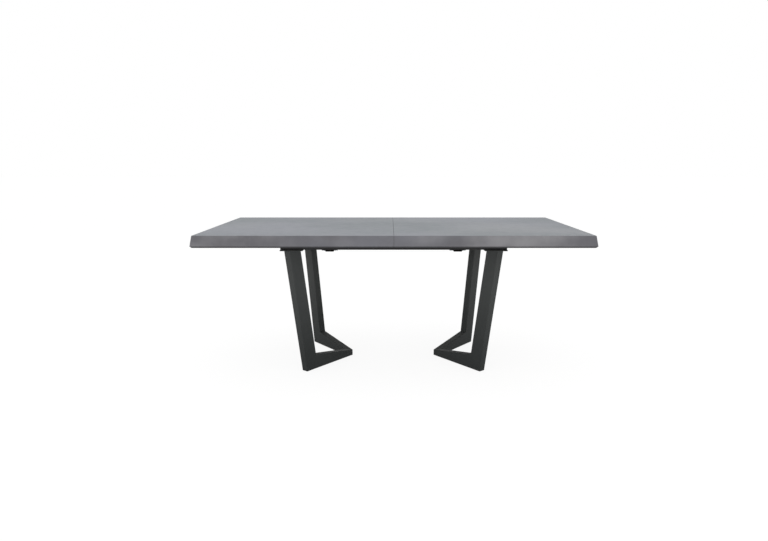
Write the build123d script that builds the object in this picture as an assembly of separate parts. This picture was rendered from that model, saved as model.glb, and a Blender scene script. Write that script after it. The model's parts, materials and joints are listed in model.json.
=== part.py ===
"""Extendable dining table: two half tops that slide apart over a fixed steel underframe on V-footed legs.

Millimetres, +Z up. X runs along the table, -Y is the front, and the origin is on the floor under the centre.
"""
from build123d import *
import math
import os

os.makedirs("parts", exist_ok=True)

# ---------------------------------------------------------------- driving dimensions
# Table top
table_length = 2000
table_depth = 1000
table_height = 770
edge_height = 60
edge_flare = 9
edge_chamfer = 8
sheet_thickness = 3
board_thickness = 19
band_thickness = 1.5
doubler_width = 50
seam_gap = 0.4
extension = 250

# Fits
running_gap = 0.3
shaft_clearance = 0.05
dowel_clearance = 0.08

# Legs: a post and a floor arm of each corner lie in one upright plane
foot_end_setback = 533
foot_side_setback = 210
arm_reach = 230
post_width = 80
post_lean = 0.16
leg_thickness = 40
leg_wall = 3
leg_edge_radius = 3
arm_tip_height = 32
arm_slope = 0.155
arm_tip_flat = 2.5
glide_height = 2
glide_radius = 14
leg_plate_length = 118
leg_plate_depth = 94
leg_plate_thickness = 3

# Underframe
rail_width = 40
rail_height = 35
tube_wall = 2
tube_radius = 3
end_tube_width = 30
end_tube_height = 15
cross_bar_setback = 195
cross_bar_mouth = 46
cross_bar_web = 36
cross_bar_flange = 18
cross_bar_depth = 9
cross_bar_wall = 2
bolt_radius = 4
bolt_length = 20
bolt_head_across = 13
bolt_head_height = 5

# Slides
channel_height = 26
channel_wall = 3
channel_slot = 16
runner_width = 28
runner_height = 14
runner_wall = 2.5
bar_stem = 8
bar_flange_width = 40
bar_flange_thickness = 4
bar_flange_gap = 3
bar_inner_end = 20
bar_end_gap = 70
slide_pad_length = 60
slide_pad_margin = 8
screw_radius = 2
screw_head_radius = 4
screw_head_height = 2.2
screw_bite = 12
channel_screw_radius = 2.5
channel_screw_length = 10
channel_screw_count = 5
bar_screw_count = 4

# Rack and pinion that keeps the halves in step
gear_module = 3
pinion_teeth = 20
pressure_angle = 20
tooth_backlash = 0.2
pinion_thickness = 8
flank_steps = 5
pinion_holes = 6
pinion_hole_radius = 4.5
bush_wall = 2
bush_flange = 1.2
axle_radius = 5
axle_head_radius = 10
axle_head_height = 3
axle_rivet_radius = 8
axle_rivet_height = 2
rack_thickness = 6
rack_back = 12
rack_stop_height = 2.6
rack_stop_length = 14
rack_guide_length = 24
rack_guide_wall = 6
rack_guide_lip = 2.2
rack_bracket_depth = 30
rack_bracket_width = 34
rack_bracket_screw = 9
bridge_width = 80
bridge_thickness = 4
bridge_fold = 12
bridge_recess = 9.5

# Stored folding leaf
leaf_thickness = 19
leaf_headroom = 4
bearer_width = 30
bearer_height = 20
bearer_y = 180
leaf_pad_x = 200
leaf_pad_length = 40
hinge_length = 60
hinge_plate_width = 26
hinge_plate_thickness = 1.5
hinge_pin_radius = 1.75
knuckle_radius = 3.5
hinge_spacing = 180
hinge_count = 3

# Seam fittings
dowel_radius = 4
dowel_depth = 20
dowel_spacing = 240
dowel_count = 4
latch_reach = 34
latch_pivot_setback = 25
latch_stud_radius = 4
latch_thickness = 4
latch_plate_thickness = 3
latch_swing = 75
latch_rim = 10
latch_hook_width = 24
latch_arm_width = 14
latch_hub_radius = 10
latch_handle = 22
latch_handle_width = 12
latch_head_radius = 6.5

# ---------------------------------------------------------------- levels and places worked out from them
sheet_bottom = table_height - sheet_thickness
board_bottom = sheet_bottom - board_thickness
edge_bottom = table_height - edge_height
flange_bottom = board_bottom - bar_flange_thickness
channel_top = flange_bottom - bar_flange_gap
rail_top = channel_top - channel_height
rail_bottom = rail_top - rail_height
post_top = rail_bottom - leg_plate_thickness

foot_x = table_length / 2 - foot_end_setback
foot_y = table_depth / 2 - foot_side_setback
apex_x = foot_x - arm_reach
leg_run = math.hypot(arm_reach, foot_y)
along = Vector(arm_reach / leg_run, foot_y / leg_run, 0)
outward = Vector(along.Y, -along.X, 0)
post_run = post_width * math.hypot(1, post_lean)
post_rise = post_top - glide_height
post_top_centre = (
    Vector(-foot_x, -foot_y, 0)
    + along * (post_run / 2 - post_lean * post_rise)
    - outward * (leg_thickness / 2)
)
plate_x = -post_top_centre.X
rail_y = -post_top_centre.Y
rail_reach = plate_x + leg_plate_length / 2
rail_inner = rail_y - rail_width / 2
rail_outer = rail_y + rail_width / 2
cross_bar_x = plate_x - cross_bar_setback

pad_thickness_side = (rail_width - 2 * channel_wall - 2 * running_gap - runner_width) / 2
pad_thickness_top = (channel_height - 2 * channel_wall - 2 * running_gap - runner_height) / 2
runner_bottom = rail_top + channel_wall + running_gap + pad_thickness_top
bar_outer_end = table_length / 2 - doubler_width - bar_end_gap

pitch_radius = gear_module * pinion_teeth / 2
addendum = gear_module
dedendum = 1.25 * gear_module
bearer_top = rail_bottom + bearer_height
bridge_top = bearer_top - bridge_recess
pinion_bottom = bridge_top + running_gap + bush_flange
pinion_top = pinion_bottom + pinion_thickness
rack_bottom = pinion_bottom + (pinion_thickness - rack_thickness) / 2
rack_top = rack_bottom + rack_thickness
rack_root = pitch_radius + dedendum
rack_edge = rack_root + rack_back
rack_middle = (rack_root + rack_edge) / 2
rack_inner_end = extension + rack_guide_length / 2 + running_gap + rack_stop_length
rack_outer_end = rail_reach + rack_bracket_depth

leaf_top = board_bottom - leaf_headroom
leaf_middle = leaf_top - leaf_thickness
leaf_bottom = leaf_middle - leaf_thickness

doubler_inner_y = table_depth / 2 - doubler_width
latch_inward = latch_reach + latch_rim
latch_outward = latch_handle + latch_handle_width / 2
latch_y = (rail_outer + doubler_inner_y + latch_inward - latch_outward) / 2


def block(x0, x1, y0, y1, z0, z1):
    """A box given by its limits along each axis."""
    centre = Pos((x0 + x1) / 2, (y0 + y1) / 2, (z0 + z1) / 2)
    return centre * Box(abs(x1 - x0), abs(y1 - y0), abs(z1 - z0))


def rod(radius, x, y, z0, z1):
    """An upright cylinder between two levels."""
    return Pos(x, y, (z0 + z1) / 2) * Cylinder(radius, z1 - z0)


def tube_section(width, height):
    """A rectangular tube's section with rounded corners."""
    inner_radius = tube_radius - tube_wall
    bore = RectangleRounded(width - 2 * tube_wall, height - 2 * tube_wall, inner_radius)
    return RectangleRounded(width, height, tube_radius) - bore


def tube_x(x0, x1, y, z, width, height):
    """A rectangular tube along X, centred on y and z."""
    section = Plane(origin=(x0, y, z), x_dir=(0, 1, 0), z_dir=(1, 0, 0)) * tube_section(width, height)
    return extrude(section, x1 - x0)


def tube_y(y0, y1, x, z, width, height):
    """A rectangular tube along Y, centred on x and z."""
    section = Plane(origin=(x, y0, z), x_dir=(-1, 0, 0), z_dir=(0, 1, 0)) * tube_section(width, height)
    return extrude(section, y1 - y0)


def group(pieces):
    """Separate solids that share one node."""
    return Compound([solid for piece in pieces for solid in piece.solids()])


def rear(piece):
    return mirror(piece, about=Plane.XZ)


def right(piece):
    return mirror(piece, about=Plane.YZ)


def turned(piece):
    """Half a turn about the table's upright centre line."""
    return Rot(0, 0, 180) * piece


def save(node, piece):
    export_step(piece, f"parts/{node}.step")


# ---------------------------------------------------------------- half tops
def frustum(inset, taper):
    """A tapered block as high as the slab's edge, its foot drawn in by inset all round."""
    foot = Pos(0, 0, edge_bottom) * Rectangle(table_length - 2 * inset, table_depth - 2 * inset)
    return extrude(foot, edge_height, taper=taper)


def slab(inset):
    """The whole slab, drawn in by inset: sides flared down to a lower arris chamfered at 45 degrees."""
    slope = edge_flare / (edge_height - edge_chamfer)
    sides = frustum(inset - slope * edge_chamfer, math.degrees(math.atan(slope)))
    return sides & frustum(edge_chamfer + math.sqrt(2) * inset, -45)


def left_layer(z0, z1, inset):
    """The left half of the slab between two levels."""
    return slab(inset) & block(-table_length, -seam_gap / 2, -table_depth, table_depth, z0, z1)


def plan_prism(points, z0, z1):
    """An upright prism on a closed outline of plan points."""
    return extrude(Pos(0, 0, z0) * make_face(Polyline(points, close=True)), z1 - z0)


def dowel_places():
    return [dowel_spacing * (i - (dowel_count - 1) / 2) for i in range(dowel_count)]


def dowel_row(radius, depth):
    """Rods across the seam, reaching depth into the left board."""
    z = (board_bottom + sheet_bottom) / 2
    return [
        Pos(-depth / 2, y, z) * Rot(0, 90, 0) * Cylinder(radius, depth)
        for y in dowel_places()
    ]


def bar_screw_places():
    """Screws of the left half's two bars, alternately inside and outside their stems."""
    side = (bar_stem + bar_flange_width) / 4
    first = bar_inner_end + slide_pad_length / 2
    step = (bar_outer_end - first - slide_pad_length / 2) / (bar_screw_count - 1)
    return [
        (-first - step * i, sign * (rail_y + side * (-1) ** i))
        for sign in (-1, 1)
        for i in range(bar_screw_count)
    ]


def top_screw_places(rack_side):
    """All screws up into the left board; its rack bracket is on the given side of the pinion."""
    x = -rack_outer_end - rack_bracket_depth / 2
    bracket = [(x, rack_side * rack_middle + dy) for dy in (-rack_bracket_screw, rack_bracket_screw)]
    return bar_screw_places() + bracket


def board(hole_radius, hole_depth, rack_side):
    """The carrier board of the left half with its dowel holes and screw holes."""
    piece = left_layer(board_bottom, sheet_bottom, band_thickness)
    for hole in dowel_row(hole_radius, hole_depth):
        piece -= hole
    for x, y in top_screw_places(rack_side):
        piece -= rod(screw_radius, x, y, board_bottom, board_bottom + screw_bite)
    return piece


def doublers():
    """Strips under the rim that make the edge look thick, mitred at the corner: front and end."""
    ring = left_layer(edge_bottom, board_bottom, band_thickness)
    x, y, w = table_length / 2, table_depth / 2, doubler_width
    front = ring & plan_prism([(-x, -y), (0, -y), (0, w - y), (w - x, w - y)], edge_bottom, board_bottom)
    end = ring & plan_prism([(-x, -y), (w - x, w - y), (w - x, y - w), (-x, y)], edge_bottom, board_bottom)
    return front, end


front_doubler, end_doubler = doublers()
sheet = left_layer(sheet_bottom, table_height, band_thickness)
edge_band = left_layer(edge_bottom, table_height, 0) - slab(band_thickness)
dowels = [Pos(dowel_depth, 0, 0) * dowel for dowel in dowel_row(dowel_radius, 2 * dowel_depth)]

save("top_sheet_left", sheet)
save("top_sheet_right", right(sheet))
save("carrier_board_left", board(dowel_radius, dowel_depth, 1))
save("carrier_board_right", right(board(dowel_radius + dowel_clearance, dowel_depth + running_gap, -1)))
for node, piece in (("edge_doubler_front", front_doubler), ("edge_doubler_end", end_doubler)):
    save(node + "_left", piece)
    save(node + "_right", right(piece))
save("edge_doubler_rear_left", rear(front_doubler))
save("edge_doubler_rear_right", right(rear(front_doubler)))
save("edge_band_left", edge_band)
save("edge_band_right", right(edge_band))
save("seam_dowels", group(dowels))


# ---------------------------------------------------------------- slides
def slide_channel():
    """Aluminium channel on the front rail, with a slot along its top for the bars' stems."""
    z = rail_top + channel_height / 2
    bore_height = channel_height - 2 * channel_wall
    section = Rectangle(rail_width, channel_height)
    section -= Rectangle(rail_width - 2 * channel_wall, bore_height)
    section -= Pos(0, channel_height / 2) * Rectangle(channel_slot, 2 * channel_wall)
    plane = Plane(origin=(-rail_reach, -rail_y, z), x_dir=(0, 1, 0), z_dir=(1, 0, 0))
    channel = extrude(plane * section, 2 * rail_reach)
    for screw in channel_screws():
        channel -= screw
    return channel


def channel_screws():
    """Countersunk screws through the floor of the front channel into the rail."""
    step = 2 * (rail_reach - slide_pad_length) / (channel_screw_count - 1)
    floor = rail_top + channel_wall
    screws = []
    for i in range(channel_screw_count):
        x = step * i - rail_reach + slide_pad_length
        head = Pos(x, -rail_y, floor - channel_screw_radius / 2) * Cone(
            channel_screw_radius, 2 * channel_screw_radius, channel_screw_radius
        )
        neck = floor - channel_screw_radius
        screws.append(head + rod(channel_screw_radius, x, -rail_y, floor - channel_screw_length, neck))
    return screws


def slide_bar():
    """Aluminium bar under the left board at the front: hollow runner, stem and screwed flange."""
    runner = Pos(0, runner_bottom + runner_height / 2) * (
        Rectangle(runner_width, runner_height)
        - Rectangle(runner_width - 2 * runner_wall, runner_height - 2 * runner_wall)
    )
    stem_bottom = runner_bottom + runner_height
    stem = Pos(0, (stem_bottom + board_bottom) / 2) * Rectangle(bar_stem, board_bottom - stem_bottom)
    flange = Pos(0, (flange_bottom + board_bottom) / 2) * Rectangle(bar_flange_width, bar_flange_thickness)
    plane = Plane(origin=(-bar_outer_end, -rail_y, 0), x_dir=(0, 1, 0), z_dir=(1, 0, 0))
    bar = extrude(plane * (runner + stem + flange), bar_outer_end - bar_inner_end)
    for x, y in bar_screw_places():
        bar -= rod(screw_radius, x, y, flange_bottom, board_bottom)
    return bar


def slide_pads():
    """Nylon collars on the runner of the front bar, which slide in the channel."""
    section = Pos(0, runner_bottom + runner_height / 2) * (
        Rectangle(runner_width + 2 * pad_thickness_side, runner_height + 2 * pad_thickness_top)
        - Rectangle(runner_width, runner_height)
    )
    section -= Pos(0, runner_bottom + runner_height) * Rectangle(channel_slot, 4 * pad_thickness_top)
    pads = []
    for inner in (bar_inner_end, rail_reach - extension - slide_pad_length - slide_pad_margin):
        plane = Plane(origin=(-inner - slide_pad_length, -rail_y, 0), x_dir=(0, 1, 0), z_dir=(1, 0, 0))
        pads.append(extrude(plane * section, slide_pad_length))
    return pads


def top_screws(rack_side):
    """Pan-head screws that hold the bars and the rack bracket to the left board."""
    return [
        rod(screw_head_radius, x, y, flange_bottom - screw_head_height, flange_bottom)
        + rod(screw_radius, x, y, flange_bottom, board_bottom + screw_bite)
        for x, y in top_screw_places(rack_side)
    ]


channel = slide_channel()
bar = slide_bar()
pads = slide_pads() + [rear(pad) for pad in slide_pads()]
screws = channel_screws()

save("slide_channel_front", channel)
save("slide_channel_rear", rear(channel))
save("channel_screws", group(screws + [rear(screw) for screw in screws]))
save("slide_bar_front_left", bar)
save("slide_bar_rear_left", rear(bar))
save("slide_bar_front_right", right(bar))
save("slide_bar_rear_right", right(rear(bar)))
save("slide_pads_left", group(pads))
save("slide_pads_right", group([right(pad) for pad in pads]))
save("top_screws_left", group(top_screws(1)))
save("top_screws_right", group([right(screw) for screw in top_screws(-1)]))


# ---------------------------------------------------------------- underframe
def bolt_places():
    """Bolts of the front left quarter: two through the leg plate, two through the cross bar."""
    edge = leg_plate_length / 2 - bolt_head_across
    flange = cross_bar_mouth / 2 + cross_bar_wall + bolt_head_across / math.sqrt(3) + running_gap
    return {
        "plate": [(-plate_x - edge, -rail_y), (-plate_x + edge, -rail_y)],
        "bar": [(-cross_bar_x - flange, -rail_y), (-cross_bar_x + flange, -rail_y)],
    }


def bolt(x, y, seat):
    """Hexagon bolt from below, its head against the seat level."""
    head = Pos(x, y, seat - bolt_head_height) * RegularPolygon(bolt_head_across / 2, 6, major_radius=False)
    return extrude(head, bolt_head_height) + rod(bolt_radius, x, y, seat, seat + bolt_length)


def rail():
    """Front longitudinal tube, drilled for the bolts below and the channel screws above."""
    tube = tube_x(-rail_reach, rail_reach, -rail_y, rail_bottom + rail_height / 2, rail_width, rail_height)
    quarter = bolt_places()["plate"] + bolt_places()["bar"]
    for x, y in quarter:
        for side in (x, -x):
            tube -= rod(bolt_radius, side, y, rail_bottom - tube_wall, rail_bottom + 2 * tube_wall)
    for screw in channel_screws():
        tube -= screw
    return tube


def cross_bar():
    """Top-hat section under both rails on the left, open upwards, bolted through its flanges."""
    mouth, web, wall = cross_bar_mouth / 2, cross_bar_web / 2, cross_bar_wall
    reach, top, bottom = mouth + cross_bar_flange, rail_bottom, rail_bottom - cross_bar_depth
    upper = [(0, bottom + wall), (web, bottom + wall), (mouth, top), (reach, top)]
    lower = [(reach, top - wall), (mouth + wall, top - wall), (web + wall, bottom), (0, bottom)]
    plane = Plane(origin=(-cross_bar_x, -rail_outer, 0), x_dir=(-1, 0, 0), z_dir=(0, 1, 0))
    half = make_face(Polyline(upper + lower, close=True))
    piece = extrude(plane * (half + mirror(half, about=Plane.YZ)), 2 * rail_outer)
    for x, y in bolt_places()["bar"]:
        for side in (y, -y):
            piece -= rod(bolt_radius, x, side, bottom, top)
    return piece


def end_tube():
    """Tube between the rails over the left leg plates, above the path of the rack."""
    return tube_y(
        -rail_inner, rail_inner, -plate_x, rail_top - end_tube_height / 2, end_tube_width, end_tube_height
    )


def leg_plate():
    """Welded plate between the front left post and the rail."""
    footprint = Pos(-plate_x, -rail_y, post_top) * RectangleRounded(
        leg_plate_length, leg_plate_depth, 2 * tube_radius
    )
    plate = extrude(footprint, leg_plate_thickness)
    for x, y in bolt_places()["plate"]:
        plate -= rod(bolt_radius, x, y, post_top, rail_bottom)
    return plate


front_rail = rail()
quarter_bolts = [bolt(x, y, post_top) for x, y in bolt_places()["plate"]]
quarter_bolts += [bolt(x, y, rail_bottom - cross_bar_wall) for x, y in bolt_places()["bar"]]
left_bolts = quarter_bolts + [rear(piece) for piece in quarter_bolts]
left_plates = [leg_plate(), rear(leg_plate())]

save("frame_rail_front", front_rail)
save("frame_rail_rear", rear(front_rail))
save("frame_end_tube_left", end_tube())
save("frame_end_tube_right", right(end_tube()))
save("cross_bar_left", cross_bar())
save("cross_bar_right", right(cross_bar()))
save("leg_plates", group(left_plates + [right(plate) for plate in left_plates]))
save("frame_bolts", group(left_bolts + [right(piece) for piece in left_bolts]))


# ---------------------------------------------------------------- legs
leg_plane = Plane(origin=(-foot_x, -foot_y, 0), x_dir=along, z_dir=outward)
inner_corner_rise = (arm_tip_height + arm_slope * (leg_run - post_run)) / (1 - arm_slope * post_lean)
inner_corner = (post_run - post_lean * inner_corner_rise, glide_height + inner_corner_rise)


def post_outline(inset):
    """The post's long sides, run on past the floor and the leg plate."""
    side = inset * post_run / post_width
    low, high = glide_height - leg_thickness, post_top + leg_thickness
    lean_low, lean_high = post_lean * (low - glide_height), post_lean * (high - glide_height)
    return [
        (side - lean_low, low), (post_run - side - lean_low, low),
        (post_run - side - lean_high, high), (side - lean_high, high),
    ]


def arm_outline(inset):
    """The floor arm's long sides, run on past the heel and the table's mid-plane."""
    start, end = -leg_thickness, leg_run + leg_thickness
    bottom = glide_height + inset
    tip = glide_height + arm_tip_height - inset * math.hypot(1, arm_slope)
    return [
        (start, bottom), (end, bottom),
        (end, tip + arm_slope * (leg_run - end)), (start, tip + arm_slope * (leg_run - start)),
    ]


def box_section(outline):
    """A welded box section on an outline in the leg's plane, its long edges rounded."""
    solid = extrude(leg_plane * make_face(Polyline(outline(0), close=True)), -leg_thickness)
    solid = fillet([edge for edge in solid.edges() if edge.length > leg_run], leg_edge_radius)
    inside = leg_plane.offset(-leg_wall) * make_face(Polyline(outline(leg_wall), close=True))
    cavity = extrude(inside, 2 * leg_wall - leg_thickness)
    before_tip = block(-table_length, table_length, -table_depth, -2 * leg_wall, -table_height, table_height)
    return solid - (cavity & before_tip)


def leg_parts():
    """The front left post and arm, mitred from the heel to the inner corner, with a blunt tip."""
    heel = leg_plane.from_local_coords(Vector(0, glide_height, 0))
    crotch = leg_plane.from_local_coords(Vector(*inner_corner, 0))
    mitre = Plane(origin=heel, x_dir=outward, z_dir=outward.cross(crotch - heel))
    if mitre.z_dir.Z < 0:
        mitre = -mitre
    upright = split(box_section(post_outline), bisect_by=mitre, keep=Keep.TOP)
    floor_bar = split(box_section(arm_outline), bisect_by=mitre, keep=Keep.BOTTOM)
    under_plate = block(-table_length, 0, -table_depth, 0, 0, post_top)
    behind_tip = block(-table_length, -apex_x - arm_tip_flat, -table_depth, 0, 0, table_height)
    return upright & under_plate, floor_bar & behind_tip


def glides():
    """Round plastic glides under the heel and the tip of the front left arm."""
    places = [Vector(s, 0, -leg_thickness / 2) for s in (post_run / 2, leg_run - post_run)]
    centres = [leg_plane.from_local_coords(place) for place in places]
    return [rod(glide_radius, centre.X, centre.Y, 0, glide_height) for centre in centres]


post, arm = leg_parts()
left_glides = glides() + [rear(piece) for piece in glides()]

for name, piece in (("leg_post", post), ("foot_arm", arm)):
    save(name + "_front_left", piece)
    save(name + "_rear_left", rear(piece))
    save(name + "_front_right", right(piece))
    save(name + "_rear_right", right(rear(piece)))
save("floor_glides", group(left_glides + [right(piece) for piece in left_glides]))


# ---------------------------------------------------------------- rack and pinion
def pinion_outline():
    """Involute teeth, thinned by half the backlash, on arcs short enough to stand as straight runs."""
    base = pitch_radius * math.cos(math.radians(pressure_angle))
    tip = pitch_radius + addendum
    root = pitch_radius - dedendum

    def involute(angle):
        return math.tan(angle) - angle

    half_tooth = math.pi / (2 * pinion_teeth) - tooth_backlash / (4 * pitch_radius)
    at_base = half_tooth + involute(math.radians(pressure_angle))
    flank = []
    for i in range(flank_steps + 1):
        radius = base + (tip - base) * i / flank_steps
        flank.append((radius, at_base - involute(math.acos(base / radius))))
    flank.insert(0, (root, at_base))
    points = []
    for tooth in range(pinion_teeth):
        middle = 2 * math.pi * tooth / pinion_teeth
        rising = [(radius, middle - angle) for radius, angle in flank]
        falling = [(radius, middle + angle) for radius, angle in reversed(flank)]
        points += [(r * math.cos(a), r * math.sin(a)) for r, a in rising + falling]
    return points


def pinion():
    """Spur pinion, bored for its bush and lightened by a ring of holes."""
    gear = plan_prism(pinion_outline(), pinion_bottom, pinion_top)
    gear -= rod(axle_radius + shaft_clearance + bush_wall, 0, 0, pinion_bottom, pinion_top)
    hole_circle = (axle_radius + bush_wall + pitch_radius - dedendum) / 2
    for spoke in range(pinion_holes):
        angle = 2 * math.pi * (spoke + 0.5) / pinion_holes
        x, y = hole_circle * math.cos(angle), hole_circle * math.sin(angle)
        gear -= rod(pinion_hole_radius, x, y, pinion_bottom, pinion_top)
    return gear


def pinion_bush():
    """Flanged bush pressed into the pinion, running on the axle and on the bridge."""
    outer = axle_radius + shaft_clearance + bush_wall
    sleeve = rod(outer, 0, 0, pinion_bottom, pinion_top) + rod(
        outer + bush_wall, 0, 0, pinion_bottom - bush_flange, pinion_bottom
    )
    return sleeve - rod(axle_radius + shaft_clearance, 0, 0, pinion_bottom - bush_flange, pinion_top)


def pinion_axle():
    """Shoulder pin riveted through the bridge, with a head that keeps the pinion down."""
    head_bottom = pinion_top + running_gap
    head = rod(axle_head_radius, 0, 0, head_bottom, head_bottom + axle_head_height)
    under = bridge_top - bridge_thickness
    rivet = rod(axle_rivet_radius, 0, 0, under - axle_rivet_height, under)
    return head + rod(axle_radius, 0, 0, under, head_bottom) + rivet


def pinion_bridge():
    """Folded steel plate between the leaf bearers that carries the pinion."""
    half, reach = bridge_width / 2, bearer_y - bearer_width / 2
    under = bridge_top - bridge_thickness
    plate = block(-half, half, -reach, reach, under, bridge_top)
    for x in (-half, half - bridge_thickness):
        plate += block(x, x + bridge_thickness, -reach, reach, bridge_top - bridge_fold, under)
    return plate - rod(axle_radius, 0, 0, under, bridge_top)


def rack():
    """Left rack, behind the pinion: toothed where it meshes, plain out to its bracket, with an end stop."""
    pitch = math.pi * gear_module
    slope = math.tan(math.radians(pressure_angle))
    half_pitch_line = pitch / 4 - tooth_backlash / 4
    tip_y, root_y = pitch_radius - addendum, rack_root
    first = -math.ceil(rack_guide_length / pitch) - 0.5
    count = int((rack_inner_end - rack_stop_length / 2) / pitch - first)
    points = [(-rack_outer_end, rack_edge), (-rack_outer_end, root_y)]
    for i in range(count):
        middle = (first + i) * pitch
        at_root = half_pitch_line + dedendum * slope
        at_tip = half_pitch_line - addendum * slope
        points += [(middle - at_root, root_y), (middle - at_tip, tip_y)]
        points += [(middle + at_tip, tip_y), (middle + at_root, root_y)]
    points += [(rack_inner_end, root_y), (rack_inner_end, rack_edge)]
    stop_start, stop_top = rack_inner_end - rack_stop_length, rack_top + rack_stop_height
    stop = block(stop_start, rack_inner_end, root_y, rack_edge, rack_top, stop_top)
    return plan_prism(points, rack_bottom, rack_top) + stop


def rack_bracket():
    """Z bracket from the outer end of the left rack up to the board."""
    wall = bar_flange_thickness
    outline = [
        (-rack_outer_end, rack_top), (rack_bracket_depth - rack_outer_end, rack_top),
        (rack_bracket_depth - rack_outer_end, rack_top + wall), (wall - rack_outer_end, rack_top + wall),
        (wall - rack_outer_end, board_bottom), (-rack_outer_end - rack_bracket_depth, board_bottom),
        (-rack_outer_end - rack_bracket_depth, flange_bottom), (-rack_outer_end, flange_bottom),
    ]
    start = rack_middle + rack_bracket_width / 2
    plane = Plane(origin=(0, start, 0), x_dir=(1, 0, 0), z_dir=(0, -1, 0))
    bracket = extrude(plane * make_face(Polyline(outline, close=True)), rack_bracket_width)
    for x, y in top_screw_places(1)[-2:]:
        bracket -= rod(screw_radius, x, y, flange_bottom, board_bottom)
    return bracket


def rack_guide(x, base):
    """Nylon guide that backs the left rack and lips over it, standing on the base level."""
    lip_bottom = rack_top + running_gap
    y0, y1 = rack_middle, rack_edge + running_gap
    x0, x1 = x - rack_guide_length / 2, x + rack_guide_length / 2
    guide = block(x0, x1, y1, y1 + rack_guide_wall, base, lip_bottom + rack_guide_lip)
    guide += block(x0, x1, y0, y1, base, rack_bottom - running_gap)
    return guide + block(x0, x1, y0, y1, lip_bottom, lip_bottom + rack_guide_lip)


cross_bar_floor = rail_bottom - cross_bar_depth + cross_bar_wall
left_guides = [rack_guide(0, bridge_top), rack_guide(-cross_bar_x, cross_bar_floor)]

save("pinion", pinion())
save("pinion_bush", pinion_bush())
save("pinion_axle", pinion_axle())
save("pinion_bridge", pinion_bridge())
save("rack_left", rack())
save("rack_right", turned(rack()))
save("rack_bracket_left", rack_bracket())
save("rack_bracket_right", turned(rack_bracket()))
save("rack_guides", group(left_guides + [turned(guide) for guide in left_guides]))


# ---------------------------------------------------------------- folding leaf, stored
leaf_depth = table_depth / 2 - edge_flare
leaf_flare = edge_flare * leaf_thickness / edge_height
leaf_fold_y = -(leaf_depth + leaf_flare) / 2


def hinge_places():
    return [hinge_spacing * (i - (hinge_count - 1) / 2) for i in range(hinge_count)]


def fold_rod(radius, x, length):
    """A rod on the leaf's fold line."""
    return Pos(x, leaf_fold_y, leaf_middle) * Rot(0, 90, 0) * Cylinder(radius, length)


def upper_leaf():
    """The half that lies face up, its flared edge at the rear and its hinges let in at the fold."""
    fold, far = leaf_fold_y, leaf_fold_y + leaf_depth
    outline = [(fold, leaf_middle), (far + leaf_flare, leaf_middle), (far, leaf_top), (fold, leaf_top)]
    plane = Plane(origin=(-extension, 0, 0), x_dir=(0, 1, 0), z_dir=(1, 0, 0))
    half = extrude(plane * make_face(Polyline(outline, close=True)), 2 * extension)
    for x in hinge_places():
        half -= hinge_plate(x)
        half -= fold_rod(knuckle_radius + running_gap, x, hinge_length)
    return half


def hinge_plate(x):
    """The plate let into the upper half's underside, up to the knuckle."""
    half = hinge_length / 2
    return block(
        x - half, x + half, leaf_fold_y, leaf_fold_y + hinge_plate_width,
        leaf_middle, leaf_middle + hinge_plate_thickness,
    )


def lay_over(piece):
    """The piece turned over onto the other side of the leaf's parting level."""
    return mirror(piece, about=Plane.XY.offset(leaf_middle))


def hinge(x):
    """One hinge of the folded leaf: two plates with their knuckles, and the pin."""
    third = hinge_length / 3
    bore = fold_rod(hinge_pin_radius + shaft_clearance, x, hinge_length)
    clear = fold_rod(knuckle_radius, x, hinge_length)
    middle = fold_rod(knuckle_radius, x, third - running_gap)
    sides = [fold_rod(knuckle_radius, x + side, third) for side in (-third, third)]
    upper = hinge_plate(x) - clear + middle
    lower = lay_over(hinge_plate(x)) - clear + sides
    return [upper - bore, lower - bore, fold_rod(hinge_pin_radius, x, hinge_length)]


def leaf_pad(x, y):
    """Rubber pad on a bearer, under the folded leaf."""
    length, width = leaf_pad_length / 2, bearer_width / 2
    return block(x - length, x + length, y - width, y + width, bearer_top, leaf_bottom)


bearer_reach = cross_bar_x + cross_bar_mouth / 2 + cross_bar_flange
leaf_bearer = tube_x(
    -bearer_reach, bearer_reach, -bearer_y, rail_bottom + bearer_height / 2, bearer_width, bearer_height
)
leaf_pads = [leaf_pad(x, y) for x in (-leaf_pad_x, leaf_pad_x) for y in (-bearer_y, bearer_y)]

save("leaf_bearer_front", leaf_bearer)
save("leaf_bearer_rear", rear(leaf_bearer))
save("leaf_rest_pads", group(leaf_pads))
save("leaf_half_upper", upper_leaf())
save("leaf_half_lower", lay_over(upper_leaf()))
save("leaf_hinges", group([piece for x in hinge_places() for piece in hinge(x)]))


# ---------------------------------------------------------------- seam latches
latch_x = -latch_pivot_setback
latch_plate_bottom = board_bottom - latch_plate_thickness
latch_top = latch_plate_bottom - running_gap
latch_bottom = latch_top - latch_thickness
stud_end = latch_bottom - running_gap


def latch_base():
    """Plate under the left board with the riveted pivot that the front lever hangs on."""
    half = latch_pivot_setback - 2 * latch_stud_radius
    x0, x1 = latch_x - half, latch_x + half
    plate = block(x0, x1, -latch_y - half, half - latch_y, latch_plate_bottom, board_bottom)
    pivot = rod(latch_stud_radius, latch_x, -latch_y, stud_end, latch_plate_bottom)
    head = rod(latch_head_radius, latch_x, -latch_y, stud_end - latch_plate_thickness / 2, stud_end)
    return plate + pivot + head


def latch_strike():
    """Plate under the right board with the stud that the front lever's hook takes."""
    half = latch_pivot_setback - 2 * latch_stud_radius
    x = latch_reach - latch_pivot_setback
    start = seam_gap + x - 2 * latch_stud_radius
    plate = block(start, start + 2 * half, -latch_y - half, half - latch_y, latch_plate_bottom, board_bottom)
    return plate + rod(latch_stud_radius, x, -latch_y, latch_bottom, latch_plate_bottom)


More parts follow.
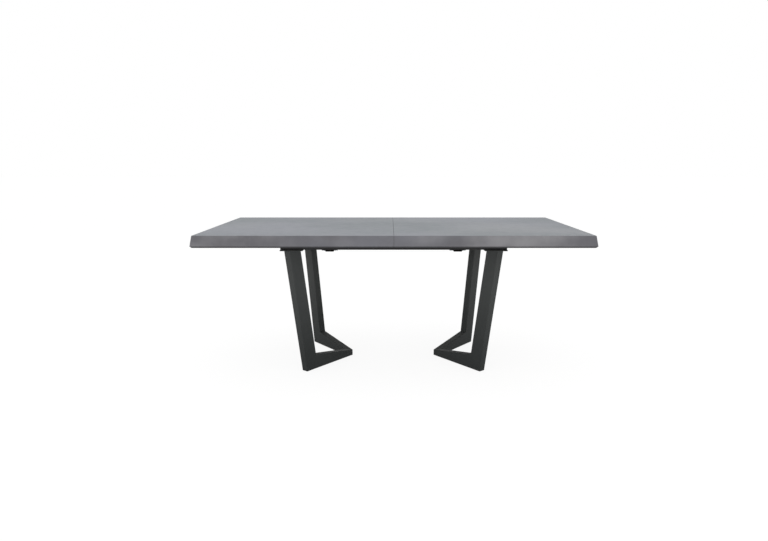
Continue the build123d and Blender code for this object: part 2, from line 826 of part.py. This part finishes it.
def latch_lever():
    """Flat lever with an arc slot at the stud's distance, drawn hooked and then swung clear."""
    stud, reach = latch_stud_radius, latch_reach
    slot = stud + running_gap
    near, far = reach - latch_rim, reach + latch_rim
    hook = (Circle(far) - Circle(near)) & Pos(far, 0) * Rectangle(2 * far - stud, latch_hook_width)
    side = Pos(far, -far) * Rectangle(2 * far, 2 * far)
    groove = (Circle(reach + slot) - Circle(reach - slot)) & side
    arm = Pos(near / 2, latch_arm_width / 2 - slot / 2) * Rectangle(near + stud, latch_arm_width)
    handle = Pos(-latch_handle / 2, 0) * Rectangle(latch_handle, latch_handle_width)
    handle += Pos(-latch_handle, 0) * Circle(latch_handle_width / 2)
    outline = hook + arm + Circle(latch_hub_radius) + handle - Circle(stud + shaft_clearance)
    outline -= groove + Pos(reach, 0) * Circle(slot)
    lever = extrude(outline, latch_thickness)
    return Pos(latch_x, -latch_y, latch_bottom) * Rot(0, 0, latch_swing) * lever


save("latch_bases", group([latch_base(), rear(latch_base())]))
save("latch_strikes", group([latch_strike(), rear(latch_strike())]))
save("latch_lever_front", latch_lever())
save("latch_lever_rear", rear(latch_lever()))
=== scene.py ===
"""Looks of an extendable dining table, put on its packed construction.

Metres, in the part's own frame: X runs along the table, -Y is the front, +Z is up and the floor is at 0.
"""
import json
import math

import bmesh
import bpy
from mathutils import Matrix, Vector, kdtree
from mathutils.geometry import convex_hull_2d


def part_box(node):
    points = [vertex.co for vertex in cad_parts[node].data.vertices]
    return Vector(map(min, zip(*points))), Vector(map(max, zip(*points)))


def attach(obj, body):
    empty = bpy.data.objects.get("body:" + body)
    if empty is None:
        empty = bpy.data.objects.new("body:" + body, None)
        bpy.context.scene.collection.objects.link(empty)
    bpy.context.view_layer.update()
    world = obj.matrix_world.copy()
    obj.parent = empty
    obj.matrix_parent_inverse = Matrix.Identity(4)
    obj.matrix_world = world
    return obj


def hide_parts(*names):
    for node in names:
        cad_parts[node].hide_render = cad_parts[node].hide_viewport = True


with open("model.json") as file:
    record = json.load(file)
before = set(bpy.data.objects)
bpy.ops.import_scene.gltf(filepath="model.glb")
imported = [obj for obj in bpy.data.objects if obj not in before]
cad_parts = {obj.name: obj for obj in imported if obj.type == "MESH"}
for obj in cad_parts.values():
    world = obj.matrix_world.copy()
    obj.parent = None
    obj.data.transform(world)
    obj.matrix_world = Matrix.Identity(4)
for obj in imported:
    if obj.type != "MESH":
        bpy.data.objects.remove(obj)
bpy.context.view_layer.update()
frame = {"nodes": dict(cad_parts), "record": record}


# ---------------------------------------------------------------- camera
# An eye 1.1 m up and 3.4 m before the table's middle, slightly to its left, looking a little down.
# The lens keeps square to the table's long side, and its shift moves the table a little to the right.
camera = bpy.data.objects.new("camera", bpy.data.cameras.new("camera"))
bpy.context.scene.collection.objects.link(camera)
bpy.context.scene.camera = camera
camera.data.lens = 28.14
camera.data.shift_x = -0.0068
camera.location = (-0.0230, -3.4077, 1.1265)
camera.rotation_euler = (math.radians(79.725), 0, 0)
bpy.context.scene.view_settings.view_transform = "Standard"


# ---------------------------------------------------------------- studio
# A white room: even light all round, one wide soft lamp overhead and one low in front.
# What the camera sees of the room is plain white, and the pale floor keeps a faint shadow.
class Wire:
    """A socket in a node tree. Sums, products and differences such as 1 - wire add Math nodes."""

    def __init__(self, tree, socket=None):
        self.tree, self.socket = tree, socket

    def node(self, kind, settings=(), inputs=(), output=0):
        """Adds a node, sets it up, fills its inputs and gives one of its outputs."""
        node = self.tree.nodes.new("ShaderNode" + kind)
        for name, value in dict(settings).items():
            setattr(node, name, value)
        for name, value in dict(inputs).items():
            if isinstance(value, Wire):
                self.tree.links.new(value.socket, node.inputs[name])
            else:
                node.inputs[name].default_value = value
        return Wire(self.tree, node.outputs[output] if node.outputs else None)

    def maths(self, operation, first, second=0.0):
        return self.node("Math", {"operation": operation}, {0: first, 1: second})

    def __add__(self, other):
        return self.maths("ADD", self, other)

    def __rsub__(self, other):
        return self.maths("SUBTRACT", other, self)

    def __mul__(self, other):
        return self.maths("MULTIPLY", self, other)

    __radd__, __rmul__ = __add__, __mul__


def colour(red, green, blue):
    return (red, green, blue, 1)


WHITE = colour(1, 1, 1)
room_light = 0.70
overhead_power = 23
overhead_size = (5.0, 3.4)
overhead_height = 3.0
front_power = 48
front_size = (6.0, 1.6)
front_place = (0, -4.2, 1.1)
front_aim = (0, 0, 0.4)
floor_reach = 40
floor_glow = 1.1
floor_shadow_share = 0.18
floor_pale = colour(0.8, 0.8, 0.8)
floor_dim = colour(0.4, 0.4, 0.4)


def seen_directly(wire):
    """1 for rays that reach the room from the camera, a mirror-like surface or glass."""
    first, second, third = [
        wire.node("LightPath", output=f"Is {kind} Ray") for kind in ("Camera", "Glossy", "Transmission")
    ]
    return wire.node("Math", {"operation": "ADD", "use_clamp": True}, {0: first + second, 1: third})


world = bpy.data.worlds.new("white_room")
bpy.context.scene.world = world
world.use_nodes = True
world.node_tree.nodes.clear()
room = Wire(world.node_tree)
grey = room.node("Background", {}, {"Color": WHITE, "Strength": room_light})
white = room.node("Background", {}, {"Color": WHITE, "Strength": 1.0})
backdrop = room.node("MixShader", {}, {0: seen_directly(room), 1: grey, 2: white})
room.node("OutputWorld", {}, {"Surface": backdrop})


def lamp(name, power, size, place, aim):
    """A soft rectangular lamp that the camera doesn't see, turned towards aim."""
    light = bpy.data.lights.new(name, "AREA")
    light.shape = "RECTANGLE"
    light.size, light.size_y = size
    light.energy = power
    holder = bpy.data.objects.new(name, light)
    bpy.context.scene.collection.objects.link(holder)
    holder.location = place
    holder.rotation_euler = (Vector(aim) - Vector(place)).to_track_quat("-Z", "Y").to_euler()
    holder.visible_camera = False


lamp("lamp_overhead", overhead_power, overhead_size, (0, 0, overhead_height), (0, 0, 0))
lamp("lamp_front", front_power, front_size, front_place, front_aim)


def new_finish(name):
    """An empty material, and the wire from which its nodes are added."""
    material = bpy.data.materials.new(name)
    material.use_nodes = True
    material.node_tree.nodes.clear()
    return material, Wire(material.node_tree)


# Seen directly the floor glows pale, with a share of true shading that keeps the shadow. To all other
# light it is a dim grey, so that little of it comes back up under the table.
floor_paint, wire = new_finish("white_floor")
shaded = wire.node("BsdfDiffuse", {}, {"Color": floor_pale})
glow = wire.node("Emission", {}, {"Color": WHITE, "Strength": floor_glow})
bright = wire.node("MixShader", {}, {0: floor_shadow_share, 1: glow, 2: shaded})
dim = wire.node("BsdfDiffuse", {}, {"Color": floor_dim})
ground = wire.node("MixShader", {}, {0: seen_directly(wire), 1: dim, 2: bright})
wire.node("OutputMaterial", {}, {"Surface": ground})

floor_mesh = bmesh.new()
bmesh.ops.create_grid(floor_mesh, x_segments=1, y_segments=1, size=floor_reach)
floor = bpy.data.objects.new("floor", bpy.data.meshes.new("floor"))
floor_mesh.to_mesh(floor.data)
bpy.context.scene.collection.objects.link(floor)
floor.data.materials.append(floor_paint)


# ---------------------------------------------------------------- half tops
# Each half is a thin concrete-look sheet bonded to a fibreboard, with doubled strips under its rim.
# A band of the same decor, a shade darker, covers the flared sides and stands flush with the sheet.
MM = 0.001
SIDES = ("left", "right")
nodes = frame["nodes"]
record = frame["record"]
body_of = {node: body for body, members in record["behaviour"]["bodies"].items() for node in members}
slot_of = {part["node"]: part["material_slot"] for part in record["subparts"]}


def patterned_finish(name):
    """An empty material, the wire from which its nodes are added, and the piece's own coordinates."""
    material, wire = new_finish(name)
    return material, wire, wire.node("TexCoord", output="Object")


def close_finish(wire, base, roughness, **others):
    """Ends a material in one shader; others names its sockets with underscores for spaces."""
    inputs = {"Base Color": base, "Roughness": roughness}
    inputs.update({name.replace("_", " "): value for name, value in others.items()})
    shader = wire.node("BsdfPrincipled", {}, inputs)
    wire.node("OutputMaterial", {}, {"Surface": shader})


def noise(wire, place, scale, detail=2.0, roughness=0.5):
    return wire.node(
        "TexNoise", {}, {"Vector": place, "Scale": scale, "Detail": detail, "Roughness": roughness}
    )


def stretched(wire, place, x, y, z, shift=0.0):
    """Coordinates scaled along each axis, for streaks and grain."""
    return wire.node("Mapping", {}, {"Vector": place, "Scale": (x, y, z), "Location": (shift, 0, 0)})


def mix(wire, factor, first, second):
    """Mixes two colours, which a Mix node takes at sockets 6 and 7 and gives at its output 2."""
    return wire.node("Mix", {"data_type": "RGBA"}, {0: factor, 6: first, 7: second}, output=2)


def step(wire, value, low, high):
    """Rises smoothly from 0 at low to 1 at high."""
    limits = {"Value": value, "From Min": low, "From Max": high}
    return wire.node("MapRange", {"interpolation_type": "SMOOTHSTEP"}, limits)


def bumps(wire, height, distance, strength=1.0):
    return wire.node("Bump", {}, {"Height": height, "Distance": distance, "Strength": strength})


def axis(wire, place, letter):
    return wire.node("SeparateXYZ", {}, {"Vector": place}, output="XYZ".index(letter))


pore_grey = colour(0.14, 0.145, 0.15)
seam_grey = colour(0.06, 0.06, 0.065)
seam_core, seam_reach, seam_share = 0.7 * MM, 1.6 * MM, 0.75
# The grey, blur and share of the painted shade along a band's foot.
painted_shade_grey = colour(0.05, 0.05, 0.053)
painted_shade_blur, painted_shade_share = 0.5 * MM, 0.85


def concrete(name, pale, cool, dark, spread, shift=0.0, seam=True, painted_shade_below=None):
    """Concrete-look decor: broad clouds in three near greys, a soft mottle and fine dark pores.

    spread is how many clouds there are to a metre along each axis, and shift moves them along X.
    The cut face at the seam shows as a thin dark line. What lies below the given height is darkened with
    painted shade.
    """
    material, wire, place = patterned_finish(name)
    along = stretched(wire, place, *spread, shift)
    cloud = step(wire, noise(wire, along, 1.0, 2.0), 0.36, 0.64)
    drift = step(wire, noise(wire, along, 0.55, 2.0, 0.6), 0.38, 0.62)
    mottle = step(wire, noise(wire, place, 24, 4.0, 0.6), 0.35, 0.7)
    pores = step(wire, noise(wire, place, 420, 2.0, 0.7), 0.6, 0.72)
    base = mix(wire, drift, cool, pale)
    base = mix(wire, cloud * 0.8 + mottle * 0.12, base, dark)
    base = mix(wire, pores * 0.14, base, pore_grey)
    if seam:
        from_seam = wire.maths("ABSOLUTE", axis(wire, place, "X"))
        line = 1 - step(wire, from_seam, seam_core, seam_reach)
        base = mix(wire, line * seam_share, base, seam_grey)
    # Painted shade: below the given height the decor is darkened, standing in for the shade on the top's
    # lower edge.
    if painted_shade_below:
        height = axis(wire, place, "Z")
        painted_shade = 1 - step(wire, height, painted_shade_below - painted_shade_blur, painted_shade_below + painted_shade_blur)
        base = mix(wire, painted_shade * painted_shade_share, base, painted_shade_grey)
    roughness = 0.62 + 0.08 * mottle
    grain = noise(wire, place, 900, 2.0)
    relief = bumps(wire, grain + pores * -0.6, 0.05 * MM, 0.4)
    close_finish(wire, base, roughness, Normal=relief, Specular_IOR_Level=0.25)
    return material


# Painted shade darkens the lowest 8 mm of the edge band, along the top's lower edge.
painted_shade_height = 8 * MM
sheet_greys = colour(0.308, 0.316, 0.330), colour(0.282, 0.292, 0.322), colour(0.230, 0.249, 0.263)
band_greys = colour(0.302, 0.297, 0.310), colour(0.188, 0.190, 0.212), colour(0.143, 0.140, 0.153)
sheet_spread, band_spread = (0.9, 1.3, 1.0), (2.6, 2.6, 5.0)
sheet_shift, band_shift = 10.2, 13.6
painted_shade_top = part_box("edge_band_left")[0][2] + painted_shade_height
stone = concrete("concrete_sheet", *sheet_greys, sheet_spread, sheet_shift)
band = concrete("concrete_band", *band_greys, band_spread, band_shift, painted_shade_below=painted_shade_top)


def stand_in(mesh, node, how, material):
    """Turns a finished bmesh into a piece that stands for a packed one, on its body and with the given
    material.
    """
    name = f"{node}_{how}"
    data = bpy.data.meshes.new(name)
    mesh.to_mesh(data)
    mesh.free()
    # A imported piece's own normals no longer fit once its edges are rounded.
    if "custom_normal" in data.attributes:
        data.attributes.remove(data.attributes["custom_normal"])
    piece = bpy.data.objects.new(name, data)
    bpy.context.scene.collection.objects.link(piece)
    data.materials.clear()
    data.materials.append(material)
    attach(piece, body_of[node])
    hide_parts(node)


weld_distance = 0.002 * MM
flush_distance = 0.1 * MM
flat_angle = math.radians(0.3)
sharp_angle = math.radians(30)
round_segments = 2


def merged(node):
    """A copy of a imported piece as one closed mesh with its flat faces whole."""
    mesh = bmesh.new()
    mesh.from_mesh(nodes[node].data)
    bmesh.ops.remove_doubles(mesh, verts=mesh.verts, dist=weld_distance)
    bmesh.ops.dissolve_limit(mesh, angle_limit=flat_angle, verts=mesh.verts, edges=mesh.edges)
    return mesh


def softened(node, width, flush_with=()):
    """The closed copy with its sharp edges rounded, except where it meets the nodes of flush_with."""
    mesh = merged(node)
    corners = [vert.co.copy() for other in flush_with for vert in nodes[other].data.vertices]
    near = kdtree.KDTree(len(corners))
    for index, corner in enumerate(corners):
        near.insert(corner, index)
    near.balance()

    def flush(edge):
        return bool(corners) and all(near.find(vert.co)[2] < flush_distance for vert in edge.verts)

    edges = [
        edge for edge in mesh.edges
        if edge.is_manifold and edge.calc_face_angle() > sharp_angle and not flush(edge)
    ]
    rounded = bmesh.ops.bevel(
        mesh, geom=edges, offset=width, offset_type="OFFSET", segments=round_segments, profile=0.5,
        material=-1, affect="EDGES", clamp_overlap=True,
    )
    for face in mesh.faces:
        face.smooth = False
    for face in rounded["faces"]:
        face.smooth = True
    return mesh


def eased(node, width, material, flush_with=()):
    """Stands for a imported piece, with its sharp edges rounded."""
    stand_in(softened(node, width, flush_with), node, "eased", material)


sheet_round, band_round = 0.5 * MM, 0.45 * MM
for side in SIDES:
    eased(f"top_sheet_{side}", sheet_round, stone)
    eased(f"edge_band_{side}", band_round, band)


# ---------------------------------------------------------------- boards under the tops
# Raw medium-density fibreboard: a felted, sanded brown face with darker flecks of bark.
# A carrier board fills each half, and mitred strips glued under its rim make up the thick edge.
fibreboard, wire, place = patterned_finish("fibreboard")
fibres = noise(wire, stretched(wire, place, 90, 260, 260), 1.0, 4.0, 0.6)
flecks = step(wire, noise(wire, place, 650, 1.0), 0.66, 0.74)
clouds = step(wire, noise(wire, place, 6, 2.0), 0.3, 0.7)
base = mix(wire, clouds * 0.5, colour(0.385, 0.300, 0.205), colour(0.340, 0.262, 0.176))
base = mix(wire, step(wire, fibres, 0.35, 0.7) * 0.35, base, colour(0.43, 0.34, 0.235))
base = mix(wire, flecks * 0.55, base, colour(0.17, 0.12, 0.075))
close_finish(wire, base, 0.85, Normal=bumps(wire, fibres, 0.08 * MM, 0.5), Specular_IOR_Level=0.3)

board_round, strip_round = 0.2 * MM, 0.8 * MM
for side in SIDES:
    eased(f"carrier_board_{side}", board_round, fibreboard)
    for strip in ("front", "rear", "end"):
        eased(f"edge_doubler_{strip}_{side}", strip_round, fibreboard)


# ---------------------------------------------------------------- powder-coated steel
# Legs in matt anthracite and the underframe in matt black: baked powder with a fine orange peel.
# A plate is welded on each post's upper end, and bolts hold it to the rail.
CORNERS = ("front_left", "front_right", "rear_left", "rear_right")
# The paler anthracite gives the legs their pale patches and also their painted light towards the top.
anthracite, pale_anthracite_and_painted_light = colour(0.023, 0.026, 0.026), colour(0.086, 0.091, 0.090)
black, pale_black = colour(0.036, 0.036, 0.038), colour(0.045, 0.045, 0.048)
speck_grey = colour(0.10, 0.105, 0.11)


def powder_coat(name, main, pale, roughness, low=0.0, high=0.0):
    """Patches turn from main to pale. Between the levels low and high, if given, the whole turns pale too:
    painted light that lightens the piece towards its top.
    """
    material, wire, place = patterned_finish(name)
    peel = noise(wire, place, 1100, 2.0, 0.55)
    drift = step(wire, noise(wire, place, 5, 2.0), 0.35, 0.7)
    speck = step(wire, noise(wire, place, 1500, 1.0), 0.62, 0.72)
    pale_patch_and_light_share = drift * 0.7
    # Painted light: between low and high the paint turns pale with height.
    if high > low:
        pale_patch_and_light_share = drift * 0.15 + step(wire, axis(wire, place, "Z"), low, high) * 0.85
    base = mix(wire, pale_patch_and_light_share, main, pale)
    base = mix(wire, speck * 0.2, base, speck_grey)
    relief = bumps(wire, peel, 0.12 * MM, 0.35)
    close_finish(wire, base, roughness + 0.06 * drift, Normal=relief, Specular_IOR_Level=0.15)
    return material


plate_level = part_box("leg_plates")[0][2]
# Painted light: the leg paint grows paler from the floor up to just under the plates.
painted_light_start, painted_light_end = -0.12 * plate_level, 0.85 * plate_level
leg_paint = powder_coat("anthracite_powder", anthracite, pale_anthracite_and_painted_light, 0.58, painted_light_start, painted_light_end)
frame_paint = powder_coat("black_powder", black, pale_black, 0.55)
leg_round, plate_round, frame_round = 0.5 * MM, 0.6 * MM, 0.4 * MM
bead_radius, bead_step, bead_dip = 1.7 * MM, 1.5 * MM, 0.2

for corner in CORNERS:
    post, arm = f"leg_post_{corner}", f"foot_arm_{corner}"
    front_or_rear, side = corner.split("_")
    other_arm = f"foot_arm_{'rear' if front_or_rear == 'front' else 'front'}_{side}"
    eased(post, leg_round, leg_paint, (arm,))
    eased(arm, leg_round, leg_paint, (post, other_arm))


def weld_bead(node, level):
    """A rippled bead round the outline of a packed tube at the level where a plate closes its end."""
    ends = [vert.co.xy for vert in nodes[node].data.vertices if abs(vert.co.z - level) < weld_distance]
    corners = [ends[index] for index in convex_hull_2d(ends)]
    line = bpy.data.curves.new("bead", "CURVE")
    line.dimensions, line.bevel_depth, line.bevel_resolution = "3D", bead_radius, 2
    ripples = []
    for start, end in zip(corners, corners[1:] + corners[:1]):
        count = max(1, round((end - start).length / bead_step))
        ripples += [start.lerp(end, i / count) for i in range(count)]
    spline = line.splines.new("POLY")
    spline.use_cyclic_u = True
    spline.points.add(len(ripples) - 1)
    for index, (point, ripple) in enumerate(zip(spline.points, ripples)):
        point.co = (ripple.x, ripple.y, level, 1)
        point.radius = 1 - bead_dip * (index % 2)
    holder = bpy.data.objects.new("bead", line)
    data = bpy.data.meshes.new_from_object(holder)
    bpy.data.objects.remove(holder)
    return data


plates = softened("leg_plates", plate_round)
for corner in CORNERS:
    plates.from_mesh(weld_bead(f"leg_post_{corner}", plate_level))
stand_in(plates, "leg_plates", "welded", leg_paint)

for node, slot in slot_of.items():
    if slot == "frame_steel":
        eased(node, frame_round, frame_paint)


# ---------------------------------------------------------------- slides
# Mill-finish aluminium extrusions with fine drawing lines along their length. Channels on the rails
# guide the bars that carry the halves, which run in them on pads of natural nylon.
aluminium, wire, place = patterned_finish("mill_aluminium")
bright_mill, dull_mill = colour(0.62, 0.63, 0.65), colour(0.46, 0.47, 0.49)
lines = noise(wire, stretched(wire, place, 3, 900, 900), 1.0, 3.0, 0.6)
stain = step(wire, noise(wire, place, 9, 3.0), 0.4, 0.75)
base = mix(wire, stain * 0.4 + step(wire, lines, 0.3, 0.7) * 0.5, bright_mill, dull_mill)
close_finish(wire, base, 0.30 + 0.14 * lines, Metallic=1.0, Normal=bumps(wire, lines, 0.03 * MM, 0.4))

nylon, wire, place = patterned_finish("natural_nylon")
haze = noise(wire, place, 60, 3.0)
base = mix(wire, haze, colour(0.78, 0.77, 0.72), colour(0.70, 0.685, 0.635))
close_finish(wire, base, 0.42 + 0.1 * haze, Normal=bumps(wire, haze, 0.05 * MM, 0.3))

slide_round, pad_round = 0.3 * MM, 0.5 * MM
for node, slot in slot_of.items():
    if slot == "aluminium":
        eased(node, slide_round, aluminium)
    if slot == "slide_nylon":
        eased(node, pad_round, nylon)


# ---------------------------------------------------------------- zinc-plated fittings
# Bright zinc plate on the racks, pinion, hinges and latches: bluish, with faint cloudy patches.
# The pinion runs on a bush of sintered bronze, whose pores hold its oil.
TOP_SCREWS = ("top_screws_left", "top_screws_right")
made_below = ("frame_bolts", "channel_screws") + TOP_SCREWS
zinc, wire, place = patterned_finish("bright_zinc")
clouds = noise(wire, place, 70, 3.0, 0.6)
drawn = noise(wire, stretched(wire, place, 40, 700, 700), 1.0, 2.0)
base = mix(wire, step(wire, clouds, 0.35, 0.65), colour(0.62, 0.635, 0.65), colour(0.52, 0.54, 0.565))
close_finish(wire, base, 0.28 + 0.16 * clouds, Metallic=1.0, Normal=bumps(wire, drawn, 0.02 * MM, 0.4))

bronze, wire, place = patterned_finish("sintered_bronze")
pits = step(wire, noise(wire, place, 2600, 1.0), 0.58, 0.7)
base = mix(wire, pits, colour(0.70, 0.48, 0.24), colour(0.36, 0.24, 0.12))
close_finish(wire, base, 0.38 + 0.2 * pits, Metallic=1.0, Normal=bumps(wire, 1 - pits, 0.05 * MM, 0.5))

fitting_round, bush_round = 0.2 * MM, 0.15 * MM
for node, slot in slot_of.items():
    if slot == "zinc_steel" and node != "leaf_hinges" and node not in made_below:
        eased(node, fitting_round, zinc)
nodes["leaf_hinges"].material_slots[0].material = zinc
eased("pinion_bush", bush_round, bronze)


# ---------------------------------------------------------------- bolts and screws
# Hexagon bolts hold the underframe together from below. Pan heads hold the bars and brackets to the
# boards, and countersunk screws the channels to the rails: all turned, with rolled threads.
def solids(node):
    """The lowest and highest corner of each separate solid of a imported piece, from left to right."""
    mesh = merged(node)
    waiting, boxes = set(mesh.verts), []
    while waiting:
        found, fresh = set(), {next(iter(waiting))}
        while fresh:
            found |= fresh
            fresh = {edge.other_vert(vert) for vert in fresh for edge in vert.link_edges} - found
        waiting -= found
        spans = list(zip(*(vert.co for vert in found)))
        boxes.append((Vector(map(min, spans)), Vector(map(max, spans))))
    mesh.free()
    return sorted(boxes, key=lambda box: tuple(box[0]))


def turned(profile, steps=24):
    """A shape turned round Z from its profile, given as radius and height in millimetres."""
    mesh = bmesh.new()
    line = [mesh.verts.new((radius * MM, 0, height * MM)) for radius, height in profile]
    edges = [mesh.edges.new(pair) for pair in zip(line, line[1:])]
    bmesh.ops.spin(
        mesh, geom=line + edges, axis=(0, 0, 1), cent=(0, 0, 0), angle=math.tau,
        steps=steps, use_merge=True,
    )
    bmesh.ops.remove_doubles(mesh, verts=mesh.verts, dist=weld_distance)
    bmesh.ops.recalc_face_normals(mesh, faces=mesh.faces)
    return mesh


sixth_turn = 60
crisp_angle = math.radians(35)


def thread(radius, depth, start, end):
    """The profile of a rolled thread between two heights: crest, root, crest and so on."""
    pitch = 0.28 * radius + 0.1
    turns = round(abs(end - start) / pitch)
    heights = [start + (end - start) * i / (2 * turns) for i in range(2 * turns + 1)]
    return [(radius - depth * (i % 2), height) for i, height in enumerate(heights)]


def hexagonal(mesh, across):
    """Cuts six flats on a turned head and closes them."""
    for turn in range(0, 360, sixth_turn):
        angle = math.radians(turn + sixth_turn / 2)
        side = Vector((math.cos(angle), math.sin(angle), 0))
        cut = bmesh.ops.bisect_plane(
            mesh, geom=mesh.verts[:] + mesh.edges[:] + mesh.faces[:], plane_co=side * across / 2 * MM,
            plane_no=side, clear_outer=True,
        )
        rim = [part for part in cut["geom_cut"] if isinstance(part, bmesh.types.BMEdge)]
        bmesh.ops.edgeloop_fill(mesh, edges=rim)
    return mesh


def socket(mesh, radius):
    """Draws the ring of a turned recess in to a hexagon, for its key."""
    for vert in mesh.verts:
        if abs(vert.co.xy.length - radius * MM) < weld_distance:
            half = math.radians(sixth_turn / 2)
            angle = math.atan2(vert.co.y, vert.co.x) % (2 * half) - half
            vert.co.xy *= math.cos(half) / math.cos(angle)
    return mesh


def joined(first, second):
    """Two meshes as one."""
    data = bpy.data.meshes.new("joined")
    second.to_mesh(data)
    second.free()
    first.from_mesh(data)
    bpy.data.meshes.remove(data)
    return first


def repeated(shape, spots):
    """The same shape at each spot, as one mesh with its rounds smooth and its edges crisp."""
    pattern = bpy.data.meshes.new("pattern")
    shape.to_mesh(pattern)
    shape.free()
    mesh = bmesh.new()
    for spot in spots:
        before = len(mesh.verts)
        mesh.from_mesh(pattern)
        mesh.verts.ensure_lookup_table()
        bmesh.ops.translate(mesh, verts=mesh.verts[before:], vec=spot)
    bpy.data.meshes.remove(pattern)
    for face in mesh.faces:
        face.smooth = True
    for edge in mesh.edges:
        edge.smooth = edge.is_manifold and edge.calc_face_angle() < crisp_angle
    return mesh


def set_turned(shape, node, rise, material):
    """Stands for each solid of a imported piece, the shape's zero level rise millimetres above its foot."""
    spots = []
    for low, high in solids(node):
        spots.append(((low.x + high.x) / 2, (low.y + high.y) / 2, low.z + rise * MM))
    stand_in(repeated(shape, spots), node, "turned", material)


# Bolts, from below up: a chamfered hexagon, a round washer face, and the shank up from the seat at 0.
head_height, across_flats, washer_radius = 5, 13, 5.9
bolt_radius, bolt_length, bolt_groove = 4, 20, 0.45
chamfer = [(0, -head_height), (5.6, -head_height), (6.3, -4.85), (7.5, -4.2)]
head = hexagonal(turned(chamfer + [(7.5, -0.5), (0, -0.5)]), across_flats)
washer = [(0, -1), (washer_radius, -1), (washer_radius, 0)]
tip = [(3.2, bolt_length), (0, bolt_length)]
shank = turned(washer + thread(bolt_radius, bolt_groove, 0, bolt_length - 1) + tip, steps=16)
set_turned(joined(head, shank), "frame_bolts", head_height, zinc)

# Pan heads, from below up too: the recess for the key, the rounded pan, and the shank up from the seat.
pan_height, pan_radius, pan_key = 2.2, 4, 1.5
screw_radius, screw_groove = 2, 0.4
recess = [(0, -0.8), (1.4, -0.9), (pan_key, -1.0), (pan_key, -pan_height)]
pan = [(2.9, -pan_height), (3.6, -1.9), (pan_radius, -1.2), (pan_radius, 0)]
for node in TOP_SCREWS:
    screw = turned(recess + pan + thread(screw_radius, screw_groove, 0, 14) + [(0, 16)])
    set_turned(socket(screw, pan_key), node, pan_height, zinc)

# Countersunk screws, from above down: the head's face is at 0, and the shank hangs from it.
sunk_length, sunk_radius, sunk_key = 10, 2.5, 1.9
recess = [(0, -1.6), (sunk_key - 0.1, -1.7), (sunk_key, -1.8), (sunk_key, 0)]
cone = [(4.8, 0), (5, -0.2), (2.6, -2.5)]
tip = [(1.9, -sunk_length), (0, -sunk_length)]
screw = turned(recess + cone + thread(sunk_radius, screw_groove, -2.5, -9.2) + tip)
set_turned(socket(screw, sunk_key), "channel_screws", sunk_length, zinc)


# ---------------------------------------------------------------- stored leaf
# Two half leaves folded face to face on three hinges: board with the decor of the top on both faces.
# They lie on rubber strips between the rails until the halves are apart.
leaf_stone = concrete("concrete_leaf", *sheet_greys, sheet_spread, seam=False)
leaf_round = 0.6 * MM
for half in ("upper", "lower"):
    eased(f"leaf_half_{half}", leaf_round, leaf_stone)


# ---------------------------------------------------------------- dowels, pads and glides
# Beech dowels glued into the left half at the seam, black rubber strips under the leaf, and black
# plastic glides that stand on the floor under each post and near each arm's tip.
dowel_round, rest_round = 0.8 * MM, 0.8 * MM
beech, wire, place = patterned_finish("beech")
rings = noise(wire, stretched(wire, place, 30, 500, 500), 1.0, 3.0)
rays = step(wire, noise(wire, stretched(wire, place, 120, 900, 900), 1.0, 1.0), 0.6, 0.7)
base = mix(wire, rings, colour(0.66, 0.48, 0.30), colour(0.55, 0.38, 0.22))
base = mix(wire, rays * 0.5, base, colour(0.40, 0.26, 0.14))
close_finish(wire, base, 0.6, Normal=bumps(wire, rings, 0.04 * MM, 0.5))
eased("seam_dowels", dowel_round, beech)

rubber, wire, place = patterned_finish("black_rubber")
bloom = step(wire, noise(wire, place, 45, 3.0), 0.4, 0.7)
base = mix(wire, bloom * 0.6, colour(0.035, 0.035, 0.036), colour(0.055, 0.054, 0.052))
close_finish(wire, base, 0.8 + 0.1 * bloom, Normal=bumps(wire, noise(wire, place, 700), 0.06 * MM, 0.5))
eased("leaf_rest_pads", rest_round, rubber)

glide_plastic, wire, place = patterned_finish("glide_plastic")
scuffs = step(wire, noise(wire, place, 240, 3.0, 0.7), 0.58, 0.7)
base = mix(wire, scuffs * 0.6, colour(0.02, 0.02, 0.021), colour(0.06, 0.06, 0.06))
close_finish(wire, base, 0.42 + 0.25 * scuffs, Normal=bumps(wire, scuffs, 0.03 * MM, 0.4))

# A glide, from below up: a dished middle, the ring that stands on the floor, and the rounded rim.
glide_radius, glide_height = 14, 2
dish = [(0, 0.5), (4, 0.5), (4.7, 0)]
rim = [(12.6, 0), (13.5, 0.3), (glide_radius, 0.9), (glide_radius, glide_height)]
glide = turned(dish + rim + [(0, glide_height)], steps=40)
set_turned(glide, "floor_glides", 0, glide_plastic)
